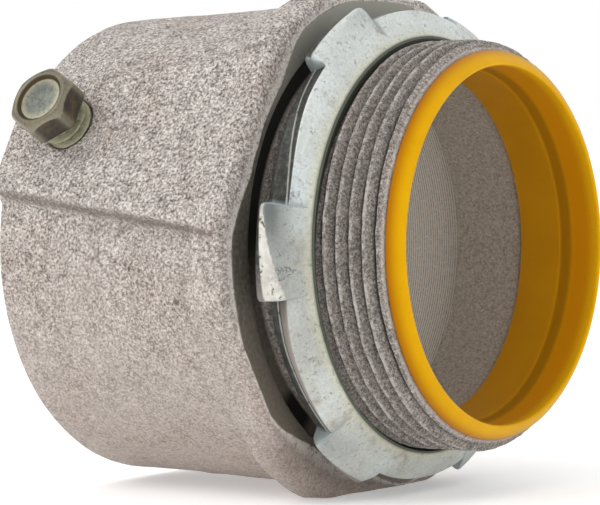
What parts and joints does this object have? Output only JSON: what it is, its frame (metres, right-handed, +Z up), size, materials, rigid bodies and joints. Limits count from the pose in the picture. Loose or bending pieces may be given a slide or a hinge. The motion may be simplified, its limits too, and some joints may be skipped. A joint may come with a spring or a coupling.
{
  "type": "conduit connector",
  "caption": "Set-screw conduit connector: cast hub with a hexagonal flange, threaded nipple, dished locknut, insulated throat and clamping screw.",
  "frame": {"origin": "on the axis of the fitting, in the plane of the shoulder face that seats against the enclosure wall", "axes": "+X along the axis, out of the threaded nipple; +Z up, square to one wrench flat; the set screw points up and to -Y"},
  "size_m": [0.0667, 0.079, 0.073],
  "materials": {
    "cast_body": "as-cast, grainy, dull zinc wash",
    "liner_plastic": "moulded, soft sheen",
    "zinc_steel": "clear zinc plate, satin",
    "dichromate_steel": "yellow dichromate zinc plate"
  },
  "bodies": {
    "fitting": {"casting": "cast_body"},
    "throat_ring": {"throat_liner": "liner_plastic"},
    "nut": {"locknut": "zinc_steel"},
    "screw": {"set_screw": "dichromate_steel"}
  },
  "joints": [
    {"name": "locknut_turn", "type": "hinge", "parent": "fitting", "child": "throat_ring", "pos_m": [0, 0, 0], "axis": [1, 0, 0], "range_deg": [-504, 1440]},
    {"name": "locknut_travel", "type": "slide", "parent": "throat_ring", "child": "nut", "axis": [1, 0, 0], "range_m": [-0.00309, 0.00883]},
    {"name": "screw_travel", "type": "slide", "parent": "fitting", "child": "screw", "axis": [0, -0.8572, 0.515], "range_m": [-0.003, 0.0045]}
  ],
  "couplings": [
    {"joint": "locknut_travel", "follows": "locknut_turn", "m_per_rad": 0.00035152}
  ]
}
